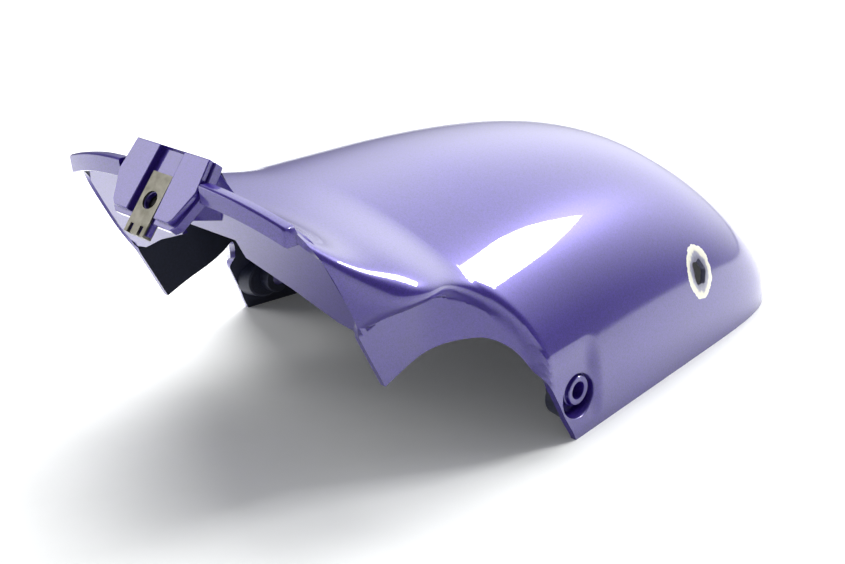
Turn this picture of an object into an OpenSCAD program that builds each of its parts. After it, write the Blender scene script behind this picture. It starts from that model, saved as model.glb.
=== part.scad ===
// Front mudguard of a small scooter: one moulded shell and the spring nut clipped on its tongue.
// X runs forward, Y to the left and Z up, and the mudguard stands on its rim on the floor at Z 0.
// The lengths along the part below are counted from the rear corner of the rim.

/* [Shell] */
// Length of the rim from its rear corner to the nose
rim_length = 227.5; // [200:1:260]
// Half width of the rim at its rear corner
rim_half_width = 108.5; // [100:0.5:116]
// How much the half width narrows for each millimetre forward
side_taper = 0.11; // [0.05:0.01:0.16]
// How long the rim keeps its straight sides before the nose turns in
nose_fullness = 11.5; // [7:0.5:14]
// Height of the crown above the floor
crown_height = 106; // [98:0.5:114]
// Place along the rim where the crown starts to fall to the nose
crown_start = 42; // [10:1:55]
// How the crown falls to the nose, 2 is an ellipse
crown_fall = 2.2; // [1.9:0.05:2.7]
// Thickness of the moulding
wall = 2.6; // [2:0.1:3]
// Roundness of a section in the middle, 2 is an ellipse
front_section = 2.1; // [2:0.05:2.5]
// Height of the upright part of the side in the middle
front_upright = 10; // [6:1:18]

/* [Rear end] */
// Place on the floor line where the slanted rear edge would land
rear_foot = -55.5; // [-60:0.5:-50]
// How far the rear edge leans back for each millimetre up
rear_lean = 0.553; // [0.5:0.01:0.6]
// Half width of the shell at its rear edge
rear_half_width = 75.5; // [74:0.5:80]
// How far the tail rises above the crown
tail_rise = 18; // [12:1:20]
// Length of the floor line under the rising tail
tail_length = 27; // [22:1:34]
// Roundness of the section at the rear edge
rear_section = 3.9; // [3:0.1:4.5]
// Height of the upright part of the side at the rear edge
rear_upright = 80; // [72:1:84]

/* [Fork pocket] */
// Half distance between the two flat pocket panels
panel_half_gap = 71.5; // [69:0.5:73.5]
// Place along the part where the panel starts to curve outwards
panel_flare_start = -60; // [-66:1:-55]
// Radius of the panel's outward curve
panel_flare_radius = 35; // [32:1:40]
// Centre of the pocket along the part
pocket_x = -60; // [-64:1:-56]
// Height of the pocket's centre
pocket_z = 32; // [28:1:36]
// Height of the lip above the pocket's centre
lip_rise = 54; // [51:1:58]
// Reach of the lip forward of the pocket's centre
lip_front = 47; // [43:1:50]
// Reach of the lip behind the pocket's centre
lip_rear = 110; // [95:1:130]
// Height of the fold at the pocket's foot above its centre
fold_rise = 39.5; // [36:1:42]
// Reach of the fold forward of the pocket's centre
fold_front = 43; // [39:1:44]
// Reach of the fold behind the pocket's centre
fold_rear = 60; // [54:1:66]

/* [Wheel arch edge] */
// Height of the panel's rear tip above the floor
tip_height = 39.5; // [36:0.5:43]
// Height of the top of the arch above the floor
arch_height = 50; // [47:0.5:53]
// Height where the arch turns down along the boss lobe
lobe_height = 40; // [37:0.5:42]
// Length over which the arch rounds into the lobe
arch_round = 8; // [6:0.5:11]

/* [Rear wall and ledge] */
// Height of the wall's lower edge behind the tongue
wall_edge_mid = 96.5; // [94:0.5:99]
// Height of the wall's lower edge just beside the tongue
wall_edge_step = 88; // [85:0.5:91]
// Height of the wall's lower edge at the side of the shell
wall_edge_side = 67; // [64:0.5:70]
// Half width of the middle stretch of the wall's lower edge
wall_mid_half = 20; // [17:0.5:24]
// Depth of the ledge behind the wall
ledge_depth = 6; // [4:0.5:8]
// Height of the ledge
ledge_height = 7.5; // [5:0.5:9]
// Half width over both ends of the ledge
ledge_half_width = 67.5; // [60:0.5:69]

/* [Tongue] */
// Height of the tongue's top edge above the crown
tongue_rise = 26.8; // [24:0.2:30]
// How far the tongue's top edge lies ahead of the slanted rear edge
tongue_set_in = 8.44; // [5:0.02:12]
// Slope of the tongue's face from the floor
tongue_slope = 51.5; // [48:0.5:56]
// Length of the tongue's face down its slope
tongue_length = 28.5; // [26:0.5:31]
// Half width of the tongue's pads at their top
pad_half_width = 22.5; // [20:0.5:25]
// Half width of the channel between the pads
channel_half = 7.4; // [6.6:0.1:9]
// Depth of the channel
channel_depth = 2.6; // [2:0.1:3.4]
// Diameter of the screw hole in the tongue
tongue_hole_d = 7; // [5.5:0.1:8]
// Distance of the screw hole down the slope from the top edge
tongue_hole_down = 22; // [19:0.5:24]

/* [Side bosses] */
// Place of the boss along the part
boss_x = 8; // [5:0.5:12]
// Height of the boss above the floor
boss_z = 18.5; // [16:0.5:22]
// Bore of the boss
boss_bore_d = 7.8; // [6.2:0.1:9]
// Outer diameter of the boss ring
boss_ring_d = 15.5; // [13:0.5:17]
// Diameter of the round recess about the ring
boss_recess_d = 22; // [19:0.5:24]
// How far the outer face of a ring lies inside the rim's half width
boss_set_in = 6; // [4:0.5:9]
// Length of the bore
boss_length = 12; // [8:0.5:16]
// Depth of the recess below the ring's face
boss_recess_depth = 4; // [2:0.5:5]

/* [Broken hole] */
// Place of the broken hole along the part
break_x = 116.5; // [105:0.5:130]
// Height of the broken hole
break_z = 39; // [32:0.5:48]
// Height of the opening
break_tall = 13.5; // [8:0.5:18]
// Width of the opening
break_wide = 12.5; // [6:0.5:15]

/* [Spring nut] */
// Width of the spring nut
nut_width = 12; // [10:0.5:14]
// Length of the leg that shows
nut_length = 26; // [24:0.5:28]
// Thickness of the spring strip
nut_strip = 0.9; // [0.7:0.1:1.2]
// Diameter of the clearance hole in the leg that shows
nut_hole_d = 7.6; // [6:0.1:8.4]
// Bore of the threaded collar on the hidden leg
nut_thread_d = 5; // [4:0.1:5.5]
// Clearance between the spring nut and the tongue
nut_gap = 0.1; // [0.05:0.05:0.3]

/* [Hidden] */

rear_cells = 15;
front_cells = 24;
low_cells = 5;
pocket_cells = 11;
crown_cells = 9;
rows = low_cells + pocket_cells + crown_cells;
stations = rear_cells + front_cells;
low_share = 0.45;
crown_share = 0.83;
lobe_lean = 0.5;
lean_fade = 140;
pad_bend = 14;
base_depth = 7;
base_core = 0.88;
ledge_gap = pad_half_width - wall / 2;
pad_core = pad_half_width - channel_half - 2 * wall;
tab_half = channel_half - 0.4;
tab_end = tongue_length + 7;
nut_leg = tab_end - tongue_hole_down + nut_thread_d;
nut_collar = 4;
tongue_top_z = crown_height + tongue_rise;
tongue_top_x = rear_foot - rear_lean * tongue_top_z + tongue_set_in;
boss_face_half = rim_half_width - boss_set_in;
ledge_foot = 100;
pocket_power = 2;
clear = 2 * rim_length;
crown_power = 0.7;
roof_run = 14.5;
roof_drop = 21.5;
tail_power = 3;
narrowing_power = 0.9;
upright_power = 1.5;

function ease(t) = let (s = min(max(t, 0), 1)) s * s * (3 - 2 * s);
function mix(a, b, t) = a + (b - a) * t;
function rearness(q) = min(max(q / rear_foot, 0), 1);

// Lean of a station that stands on the floor line at q
function lean(q) = q < 0
    ? mix(lobe_lean, rear_lean, rearness(q))
    : lobe_lean * (1 - ease(q / lean_fade));

// Height of the spine over a station
function fall(q) = min(max((q - crown_start) / (rim_length - crown_start), 0), 1);
function tail(q) = max(rear_foot + tail_length - q, 0) / tail_length;
function spine(q) = crown_height * pow(max(1 - pow(fall(q), crown_fall), 0), crown_power)
    + tail_rise * pow(tail(q), tail_power);

// Half width of a station low on its side
function half_width(q) = q < 0
    ? mix(rim_half_width, rear_half_width, pow(rearness(q), narrowing_power))
    : (rim_half_width - side_taper * q) * sqrt(max(1 - pow(q / rim_length, nose_fullness), 0));

// Height of the upright part and the roundness of the section above it
function upright(q) = q < 0
    ? mix(front_upright, rear_upright, pow(rearness(q), upright_power))
    : min(front_upright * (1 - q / rim_length), spine(q) / 3);
function roundness(q) = mix(front_section, rear_section, ease(rearness(q)));

// Bare half width at height z, without the pocket
function bare(q, z) = let (e = upright(q), h = spine(q), n = roundness(q))
    z <= e ? half_width(q)
    : half_width(q) * pow(max(1 - pow((z - e) / max(h - e, 0.01), n), 0), 1 / n);

// Share of the way from the lip, 0, to the fold at the foot, 1: soft at the lip and a crease at the fold
function reach(x, z, front, rear, rise) = let (d = x - pocket_x)
    norm([d / (d > 0 ? front : rear), max(z - pocket_z, 0) / rise]);
function pocket(x, z) = let (
    lip = reach(x, z, lip_front, lip_rear, lip_rise),
    fold = reach(x, z, fold_front, fold_rear, fold_rise))
    pow(min(max((1 - lip) / max(fold - lip, 0.001), 0), 1), pocket_power);
function panel(x) = panel_half_gap + pow(max(x - panel_flare_start, 0), 2) / (2 * panel_flare_radius);
function sunk(x, y, z) = y > panel(x) ? mix(y, panel(x), pocket(x, z)) : y;

// Lower edge of a station: the arch behind the lobe, the floor before it
function arch(q) = q > -arch_round
    ? lobe_height + (arch_height - lobe_height) * sqrt(max(1 - pow(1 + q / arch_round, 2), 0))
    : tip_height + (arch_height - tip_height) * sin(90 * (q - rear_foot) / (-arch_round - rear_foot));

function station_q(i) = i <= rear_cells
    ? rear_foot * pow(1 - i / rear_cells, 1.5)
    : rim_length * sin(90 * pow((i - rear_cells) / front_cells, 1.3));

// A point of the outer skin at station i and row j, on the right side
function row_z(q, j, i) = let (
    h = spine(q),
    top = crown_share * h,
    low = i <= rear_cells ? arch(q) : low_share * top)
    j <= low_cells ? (i < rear_cells ? low : low * j / low_cells)
    : mix(low, top, (j - low_cells) / pocket_cells);
function crown_point(q, j) = let (
    e = upright(q), h = spine(q), n = roundness(q),
    start = asin(pow((crown_share * h - e) / (h - e), n / 2)),
    a = mix(start, 90, (j - low_cells - pocket_cells) / crown_cells))
    [half_width(q) * pow(max(cos(a), 0), 2 / n), e + (h - e) * pow(sin(a), 2 / n)];
function outer_point(i, j) = i == stations ? [rim_length, 0, 0] : let (
    q = station_q(i),
    high = j > low_cells + pocket_cells,
    yz = high ? crown_point(q, j) : let (z = row_z(q, j, i)) [bare(q, z), z],
    y = j == rows ? 0 : yz[0],
    x = q - lean(q) * yz[1])
    [x, sunk(x, y, yz[1]), yz[1]];

first_row = [for (i = [0:stations]) i < rear_cells ? low_cells : 0];
outer = [for (i = [0:stations]) [for (j = [0:rows]) outer_point(i, j)]];

function flip(p) = [p[0], -p[1], p[2]];
function unit(v) = v / max(norm(v), 0.000001);
// Normal of the skin from its neighbours, kept level on the floor and upright on the spine
function normal(i, j) = let (
    s = min(i, stations - 1),
    a = outer[min(s + 1, stations - 1)][j],
    b = outer[max(s - 1, j < low_cells ? rear_cells : 0)][j],
    c = j == rows ? flip(outer[s][j - 1]) : outer[s][j + 1],
    d = outer[s][max(j - 1, first_row[s])],
    n = cross(c - d, a - b),
    level = i >= rear_cells && j == 0,
    m = level ? [n[0], n[1], 0] : j == rows ? [n[0], 0, n[2]] : n)
    i == stations ? [1, 0, 0] : unit(m);
inner = [for (i = [0:stations]) [for (j = [0:rows]) outer[i][j] - wall * normal(i, j)]];

// Both skins, right side to left side, in one list of points
across = 2 * rows;
function side_point(grid, i, k) = k <= rows ? flip(grid[i][k]) : grid[i][across - k];
skin_size = (stations + 1) * (across + 1);
skin_points = [for (grid = [outer, inner]) for (i = [0:stations]) for (k = [0:across]) side_point(grid, i, k)];
function at(layer, i, k) = layer * skin_size + i * (across + 1) + k;
function tip(layer) = at(layer, stations, 0);
function row_of(k) = min(k, across - 1 - k);
function present(i, k) = i >= 0 && i < stations && k >= 0 && k < across
    && !(i < rear_cells && row_of(k) < low_cells);

// Every cell is two triangles outside and two inside, with a band where a neighbour is missing
function quad(a, b, c, d) = [[a, b, c], [a, c, d]];
function cell(i, k) = i == stations - 1
    ? [[at(0, i, k), at(0, i, k + 1), tip(0)], [at(1, i, k + 1), at(1, i, k), tip(1)]]
    : concat(
        quad(at(0, i, k), at(0, i, k + 1), at(0, i + 1, k + 1), at(0, i + 1, k)),
        quad(at(1, i, k), at(1, i + 1, k), at(1, i + 1, k + 1), at(1, i, k + 1)));
function band(i, k, m, l) = quad(at(0, i, k), at(0, m, l), at(1, m, l), at(1, i, k));
skin_faces = [for (i = [0:stations - 1]) for (k = [0:across - 1]) if (present(i, k))
    each concat(
        cell(i, k),
        present(i - 1, k) ? [] : band(i, k + 1, i, k),
        present(i, k - 1) ? [] : i + 1 == stations
            ? [[at(0, i, k), tip(0), tip(1)], [at(0, i, k), tip(1), at(1, i, k)]]
            : band(i, k, i + 1, k),
        present(i, k + 1) ? [] : i + 1 == stations
            ? [[tip(0), at(0, i, k + 1), at(1, i, k + 1)], [tip(0), at(1, i, k + 1), tip(1)]]
            : band(i + 1, k + 1, i, k + 1))];

module shell() {
    polyhedron(points = skin_points, faces = skin_faces, convexity = 8);
}

// Half outline of the rear section in Y and Z, drawn in by an inset
function rear_point(j, inset) = let (
    p = outer_point(0, j),
    a = outer_point(0, min(j + 1, rows)),
    b = outer_point(0, max(j - 1, low_cells)),
    t = unit([a[1] - b[1], a[2] - b[2]]))
    [p[1] - inset * t[1], p[2] + inset * t[0]];

// A solid of the rear section between two shifts along X, from one row up to the crown
module rear_slab(inset, back, front, first) {
    half = [for (j = [first:rows - 1]) rear_point(j, inset)];
    n = len(half);
    points = [for (shift = [back, front]) for (side = [-1, 1]) for (p = half)
        [rear_foot + shift - rear_lean * p[1], side * p[0], p[1]]];
    faces = [for (j = [0:n - 2]) each concat(
        quad(j, n + j, n + j + 1, j + 1),
        quad(2 * n + j, 2 * n + j + 1, 3 * n + j + 1, 3 * n + j),
        quad(j, j + 1, 2 * n + j + 1, 2 * n + j),
        quad(n + j, 3 * n + j, 3 * n + j + 1, n + j + 1))];
    polyhedron(points = points, faces = concat(faces,
        quad(0, 2 * n, 3 * n, n),
        quad(n - 1, 2 * n - 1, 4 * n - 1, 3 * n - 1)));
}

// Closes the rear end, with the stepped lower edge
module rear_wall() {
    first = low_cells + ceil((wall_edge_side - tip_height) / (crown_share * spine(rear_foot) - tip_height) * pocket_cells);
    edge = [[panel_half_gap + 9, wall_edge_side - 30], [-panel_half_gap - 9, wall_edge_side - 30],
        [-panel_half_gap - 9, wall_edge_side], [-panel_half_gap, wall_edge_side],
        [-wall_mid_half, wall_edge_step], [-wall_mid_half, wall_edge_mid],
        [wall_mid_half, wall_edge_mid], [wall_mid_half, wall_edge_step],
        [panel_half_gap, wall_edge_side], [panel_half_gap + 9, wall_edge_side]];
    difference() {
        rear_slab(wall / 2, 0.8, 0.8 + wall, first);
        translate([-150, 0, 0]) rotate([90, 0, 90]) linear_extrude(height = 100) polygon(edge);
    }
}

// The thick rim that stands out behind the top of the wall
module ledge() {
    first = low_cells + pocket_cells;
    intersection() {
        difference() {
            rear_slab(0.4, -ledge_depth, 1.5, first);
            rear_slab(ledge_height, -ledge_depth - 2, 3, first - 3);
        }
        for (side = [-1, 1]) translate([0, side * (ledge_half_width + ledge_gap) / 2, ledge_foot + clear / 2])
            cube([clear, ledge_half_width - ledge_gap, clear], center = true);
    }
}

// Places its children on the tongue's face: across, down the slope and outwards
module on_face() {
    c = cos(tongue_slope);
    s = sin(tongue_slope);
    multmatrix([[0, -c, -s, tongue_top_x], [1, 0, 0, 0], [0, -s, c, tongue_top_z], [0, 0, 0, 1]])
        children();
}
function face_point(down, out) = [
    tongue_top_x - down * cos(tongue_slope) - out * sin(tongue_slope),
    tongue_top_z - down * sin(tongue_slope) + out * cos(tongue_slope)];

module layer(from, to) {
    translate([0, 0, from]) linear_extrude(height = to - from) children();
}

// Two raised pads on a base, hollow from below, with a channel and a tab for the spring nut
module tongue_face() {
    pad = [[channel_half, 0], [pad_half_width, 0], [pad_half_width + 1.5, pad_bend],
        [pad_half_width - 3.5, tongue_length - 2], [pad_half_width - 5.5, tongue_length],
        [channel_half + 1, tongue_length]];
    base = [[-pad_half_width - 1, 0], [pad_half_width + 1, 0], [pad_half_width + 2.8, pad_bend],
        [pad_half_width - 2.5, tongue_length], [pad_half_width - 5, tongue_length + 2],
        [5 - pad_half_width, tongue_length + 2], [2.5 - pad_half_width, tongue_length],
        [-pad_half_width - 2.8, pad_bend]];
    on_face() difference() {
        union() {
            layer(-base_depth, -channel_depth) polygon(base);
            layer(-channel_depth - 1, 0) polygon(pad);
            layer(-channel_depth - 1, 0) mirror([1, 0]) polygon(pad);
            layer(-channel_depth - wall, -channel_depth) translate([-tab_half, 0]) square([2 * tab_half, tab_end]);
        }
        layer(-base_depth - 1, -channel_depth - wall) difference() {
            polygon([for (p = base) [p[0] * base_core, wall + p[1] * base_core]]);
            translate([-50, tongue_length + 2 - wall]) square([100, 20]);
        }
        layer(-base_depth - 1, -channel_depth - wall)
            translate([-nut_width / 2 - 0.5, tongue_length - 2 * wall]) square([nut_width + 1, 4 * wall]);
        for (side = [-1, 1]) layer(-base_depth - 1, -wall)
            translate([side * (channel_half + pad_half_width) / 2 - pad_core / 2, wall])
                square([pad_core, tongue_length - 3 * wall]);
        translate([0, tongue_hole_down, -base_depth - 1]) cylinder(d = tongue_hole_d, h = base_depth + 2, $fn = 48);
    }
}

// Cheeks and roof that carry the tongue's face on the tail
module tongue_box() {
    top = face_point(0, -1);
    back = face_point(0, -base_depth);
    mid = face_point(pad_bend, -base_depth + 1);
    low = face_point(tongue_length - 4, -base_depth + 1);
    roof_end = [tongue_top_x + roof_run, tongue_top_z - roof_drop];
    under = [rear_foot + 6 - rear_lean * 104, 104];
    for (side = [-1, 1]) hull() {
        for (p = [top, mid, roof_end]) translate([p[0], side * (pad_half_width - wall / 2), p[1]])
            rotate([90, 0, 0]) cylinder(d = 1, h = wall, center = true, $fn = 8);
        for (p = [low, under]) translate([p[0], side * (pad_half_width - 5), p[1]])
            rotate([90, 0, 0]) cylinder(d = 1, h = wall, center = true, $fn = 8);
    }
    hull() for (p = [top, back, roof_end]) translate([p[0], 0, p[1]])
        rotate([90, 0, 0]) cylinder(d = 1.6, h = 2 * pad_half_width - wall, center = true, $fn = 8);
}

module on_side(side, y) {
    translate([boss_x, side * y, boss_z]) rotate([side * -90, 0, 0]) children();
}
floor_y = boss_face_half - boss_recess_depth;
module boss_cups() {
    for (side = [-1, 1]) on_side(side, floor_y - wall)
        cylinder(d = boss_recess_d + 2 * wall, h = wall + rim_half_width - 3 - floor_y, $fn = 64);
}
module boss_recesses() {
    for (side = [-1, 1]) on_side(side, floor_y) cylinder(d = boss_recess_d, h = 20, $fn = 64);
}
module boss_rings() {
    for (side = [-1, 1]) on_side(side, boss_face_half - boss_length)
        cylinder(d = boss_ring_d, h = boss_length, $fn = 64);
}
module boss_bores() {
    for (side = [-1, 1]) on_side(side, boss_face_half - boss_length - 5)
        cylinder(d = boss_bore_d, h = boss_length + 10, $fn = 48);
}

// The hole broken through the right side, with an uneven outline
module broken_hole() {
    r = [1, 0.82, 0.93, 0.7, 1.05, 0.78, 0.9, 1, 0.74, 0.95, 0.84];
    n = len(r);
    translate([break_x, -rim_half_width / 2, break_z]) rotate([90, 0, 0]) linear_extrude(height = rim_half_width)
        polygon([for (k = [0:n - 1]) r[k] * [break_wide * cos(360 * k / n), break_tall * sin(360 * k / n)] / 2]);
}

// The origin is on the floor, halfway between the nose and the rear end of the spring nut
rear_end = face_point(tab_end + nut_gap + nut_strip, nut_gap + nut_strip - channel_depth)[0];
module centred() {
    translate([-(rim_length + rear_end) / 2, 0, 0]) children();
}

module mudguard() {
    color("indigo") centred() difference() {
        union() {
            difference() {
                union() {
                    shell();
                    rear_wall();
                    ledge();
                    boss_cups();
                }
                boss_recesses();
                broken_hole();
            }
            boss_rings();
            tongue_box();
            tongue_face();
        }
        boss_bores();
    }
}

// A strip folded round the tongue's tab, with a threaded collar on its hidden leg
module clip_nut() {
    out = -channel_depth + nut_gap;
    under = -channel_depth - wall - nut_gap - nut_strip;
    fold = tab_end + nut_gap;
    color("darkkhaki") centred() on_face() difference() {
        union() {
            translate([-nut_width / 2, fold - nut_length + nut_strip, out]) cube([nut_width, nut_length, nut_strip]);
            translate([-nut_width / 2, fold, under]) cube([nut_width, nut_strip, out - under + nut_strip]);
            translate([-nut_width / 2, fold - nut_leg, under]) cube([nut_width, nut_leg + nut_strip, nut_strip]);
            translate([0, tongue_hole_down, under - nut_collar]) cylinder(d = nut_thread_d + 2.4, h = nut_collar + 0.1, $fn = 48);
        }
        translate([0, tongue_hole_down, out - 1]) cylinder(d = nut_hole_d, h = nut_strip + 2, $fn = 48);
        translate([0, tongue_hole_down, under - nut_collar - 1]) cylinder(d = nut_thread_d, h = nut_collar + nut_strip + 2, $fn = 48);
        for (side = [-1, 1]) translate([side * nut_width / 4 - nut_width / 12, fold - 3, out - 1])
            cube([nut_width / 6, 3 + nut_strip + 1, nut_strip + 2]);
    }
}

mudguard();
clip_nut();
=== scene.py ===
"""Scooter front mudguard: a painted plastic moulding with a spring nut, on a pale studio floor.

All shapes are worked out in millimetres, along the same lines as the part's source, and are turned to
metres at the end. X runs forward, Y to the left and Z up.
"""
import math

import bmesh
import bpy
import numpy as np
from bpy.props import FloatProperty, PointerProperty, StringProperty
from bpy.types import Operator, Panel, PropertyGroup
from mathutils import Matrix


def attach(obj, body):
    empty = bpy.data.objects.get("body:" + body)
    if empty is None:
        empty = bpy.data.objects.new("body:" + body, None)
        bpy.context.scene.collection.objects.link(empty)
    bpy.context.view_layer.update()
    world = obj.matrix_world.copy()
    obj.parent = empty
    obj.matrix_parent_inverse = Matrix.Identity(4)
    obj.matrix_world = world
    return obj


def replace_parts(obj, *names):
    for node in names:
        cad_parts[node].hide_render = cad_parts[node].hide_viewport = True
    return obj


bl_info = {
    "name": "Scooter front mudguard",
    "version": (1, 0, 0),
    "blender": (4, 5, 0),
    "location": "3D View > Sidebar > Mudguard",
    "description": "Painted front mudguard with its spring nut, built round the packed model",
    "category": "Add Mesh",
}

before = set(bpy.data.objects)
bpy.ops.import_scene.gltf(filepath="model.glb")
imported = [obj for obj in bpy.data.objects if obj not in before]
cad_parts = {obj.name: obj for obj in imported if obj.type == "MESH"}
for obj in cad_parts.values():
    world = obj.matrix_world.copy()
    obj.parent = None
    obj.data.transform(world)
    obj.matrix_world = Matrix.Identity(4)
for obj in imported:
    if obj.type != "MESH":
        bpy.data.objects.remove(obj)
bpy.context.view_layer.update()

# The shell in millimetres, with places counted from the rear corner of the rim
RIM_LENGTH, RIM_HALF_WIDTH, SIDE_TAPER, NOSE_FULLNESS = 227.5, 108.5, 0.11, 11.5
CROWN_HEIGHT, CROWN_START, CROWN_FALL, CROWN_POWER = 106.0, 42.0, 2.2, 0.7
WALL = 2.6
FRONT_SECTION, FRONT_UPRIGHT = 2.1, 10.0
REAR_FOOT, REAR_LEAN, REAR_HALF_WIDTH = -55.5, 0.553, 75.5
TAIL_RISE, TAIL_LENGTH, TAIL_POWER = 18.0, 27.0, 3.0
REAR_SECTION, REAR_UPRIGHT = 3.9, 80.0
NARROWING_POWER, UPRIGHT_POWER = 1.5, 1.05
LOBE_LEAN, LEAN_FADE = 0.5, 140.0
INSIDE_X = 60.0

# The fork pocket; its lip and the fold at its foot reach this far forward, behind and above its centre
PANEL_HALF_GAP, PANEL_FLARE_START, PANEL_FLARE_RADIUS = 71.5, -60.0, 35.0
POCKET_X, POCKET_Z = -60.0, 32.0
LIP = (47.0, 110.0, 54.0)
FOLD = (43.0, 60.0, 39.5)
POCKET_POWER, PANEL_BLEND = 1.8, 1.0
TIP_HEIGHT, ARCH_HEIGHT, LOBE_HEIGHT, ARCH_ROUND = 39.5, 50.0, 40.0, 8.0

# The shell's grid; the middle rows of a station end at a share of its height, and in front start at a share
# of that
FRONT_STATIONS, REAR_STATIONS = 158, 35
LOW_ROWS, MID_ROWS, HIGH_ROWS = 34, 46, 34
LOW_SHARE, CROWN_SHARE = 0.45, 0.83

# The rear wall, and the ledge whose top falls by a share of the cube of Y
WALL_SET_IN, WALL_BELOW_LEDGE = 0.8, 4.5
WALL_EDGE_MID, WALL_EDGE_STEP, WALL_EDGE_SIDE, WALL_MID_HALF = 96.5, 88.0, 67.0, 20.0
WALL_BEND_Y, WALL_BEND_Z = (26.0, 42.0, 61.0), (85.5, 79.0, 69.2)
LEDGE_DEPTH, LEDGE_HEIGHT, LEDGE_HALF_WIDTH, LEDGE_START = 6.0, 7.5, 67.5, 25.0
LEDGE_TOP, LEDGE_FALL = 124.8, 2.86e-5

# The tongue, with its face's top edge as X and Z, and its tab
TONGUE_TOP = (-120.5, 132.8)
TONGUE_SLOPE, TONGUE_LENGTH = 51.5, 28.5
PAD_HALF_WIDTH, PAD_BEND, ROOF_RUN, ROOF_DROP = 22.5, 14.0, 14.5, 21.5
CHANNEL_HALF, CHANNEL_DEPTH, BASE_DEPTH = 7.4, 2.6, 7.0
TONGUE_HOLE_D, TONGUE_HOLE_DOWN = 7.0, 22.0
TAB_HALF, TAB_END = 7.0, TONGUE_LENGTH + 7.0
CHEEK_SET_IN, CHEEK_FOOT_Z = 6.0, 104.0
NUT_GAP, NUT_STRIP = 0.1, 0.9

# The bosses, each in an oval recess whose centre lies behind and below the bore
BOSS_X, BOSS_Z, BOSS_FACE_HALF, BOSS_LENGTH = 8.0, 18.5, 102.5, 12.0
BOSS_RECESS_DEPTH, BOSS_CORNERS, BOSS_PAINTED_RINGS = 4.0, 96, 20
RECESS_WIDE, RECESS_TALL, RECESS_EDGE = 23.0, 18.5, 0.6
RECESS = (BOSS_X - 3.0, BOSS_Z - 0.8)

# The shallow flat about a boss: how deep, where it ends and over what lengths it fades
FLAT_DEPTH, FLAT_END, FLAT_FOOT, FLAT_TOP, FLAT_SIDE = 2.0, 22.0, 2.0, 42.0, 90.0
FLAT_FADE_END, FLAT_FADE_FOOT, FLAT_FADE_TOP = 9.0, 12.0, 14.0

SLOPE_COS = math.cos(math.radians(TONGUE_SLOPE))
SLOPE_SIN = math.sin(math.radians(TONGUE_SLOPE))
NUT_END = (TONGUE_TOP[0] - (TAB_END + NUT_GAP + NUT_STRIP) * SLOPE_COS
           - (NUT_GAP + NUT_STRIP - CHANNEL_DEPTH) * SLOPE_SIN)
CENTRE_X = (RIM_LENGTH + NUT_END) / 2
MM = 0.001

# The stage: half the floor's width in metres, the way to the bright wall, and the camera's place in
# millimetres from the rim's rear corner with its tilt and turn in degrees
FLOOR_HALF = 6.0
GLOW_WAY = (0.80, 0.17, 0.574)
CAMERA_AT, CAMERA_TILT, CAMERA_TURN = (-457.5, -453.9, 296.1), 68.54, -46.39


def linear(code):
    """Turns an sRGB hex colour into linear red, green and blue."""
    part = [int(code[i:i + 2], 16) / 255 for i in (0, 2, 4)]
    return tuple(c / 12.92 if c <= 0.04045 else ((c + 0.055) / 1.055) ** 2.4 for c in part)


# The moulding's own surface

def ease(t):
    """Smooth step from 0 to 1: 3 t squared less 2 t cubed."""
    s = np.clip(t, 0, 1)
    return s * s * (3 - 2 * s)


def mix(a, b, t):
    """Straight mix from a to b."""
    return a + (b - a) * t


def rearness(q):
    """Share of the way from the rim's rear corner back to the rear edge."""
    return np.clip(q / REAR_FOOT, 0, 1)


def lean(q):
    """How far a station leans back for each millimetre up."""
    return np.where(q < 0, mix(LOBE_LEAN, REAR_LEAN, rearness(q)), LOBE_LEAN * (1 - ease(q / LEAN_FADE)))


def spine(q):
    """Height of the middle line: a crown falling to the nose as a power curve, plus a cubic tail rise."""
    fall = np.clip((q - CROWN_START) / (RIM_LENGTH - CROWN_START), 0, 1)
    tail = np.clip(REAR_FOOT + TAIL_LENGTH - q, 0, None) / TAIL_LENGTH
    crown = CROWN_HEIGHT * np.clip(1 - fall ** CROWN_FALL, 0, None) ** CROWN_POWER
    return crown + TAIL_RISE * tail ** TAIL_POWER


def half_width(q):
    """Half width low on the side: a taper that a power curve closes at the nose, and a power curve behind."""
    front = (RIM_HALF_WIDTH - SIDE_TAPER * q) * np.sqrt(
        np.clip(1 - np.clip(q / RIM_LENGTH, 0, None) ** NOSE_FULLNESS, 0, None))
    return np.where(q < 0, mix(RIM_HALF_WIDTH, REAR_HALF_WIDTH, rearness(q) ** NARROWING_POWER), front)


def upright(q):
    """Height of the upright part of the side."""
    front = np.minimum(FRONT_UPRIGHT * (1 - q / RIM_LENGTH), spine(q) / 3)
    return np.where(q < 0, mix(FRONT_UPRIGHT, REAR_UPRIGHT, rearness(q) ** UPRIGHT_POWER), front)


def roundness(q):
    """Exponent of the section above the upright part; 2 is an ellipse."""
    return mix(FRONT_SECTION, REAR_SECTION, ease(rearness(q)))


def bare(q, z):
    """Half width at height z: upright at the foot, then a rounded section up to the spine."""
    foot, top, n = upright(q), spine(q), roundness(q)
    rise = np.clip(z - foot, 0, None) / np.maximum(top - foot, 0.01)
    return np.where(z <= foot, half_width(q), half_width(q) * np.clip(1 - rise ** n, 0, None) ** (1 / n))


def reach(x, z, oval):
    """Distance from the pocket's centre in an oval of front, rear and upper reach; 1 on the oval."""
    d = x - POCKET_X
    return np.hypot(d / np.where(d > 0, oval[0], oval[1]), np.clip(z - POCKET_Z, 0, None) / oval[2])


def panel(x):
    """Half distance between the two pocket panels, which curve outwards at their front."""
    return PANEL_HALF_GAP + np.clip(x - PANEL_FLARE_START, 0, None) ** 2 / (2 * PANEL_FLARE_RADIUS)


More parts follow.
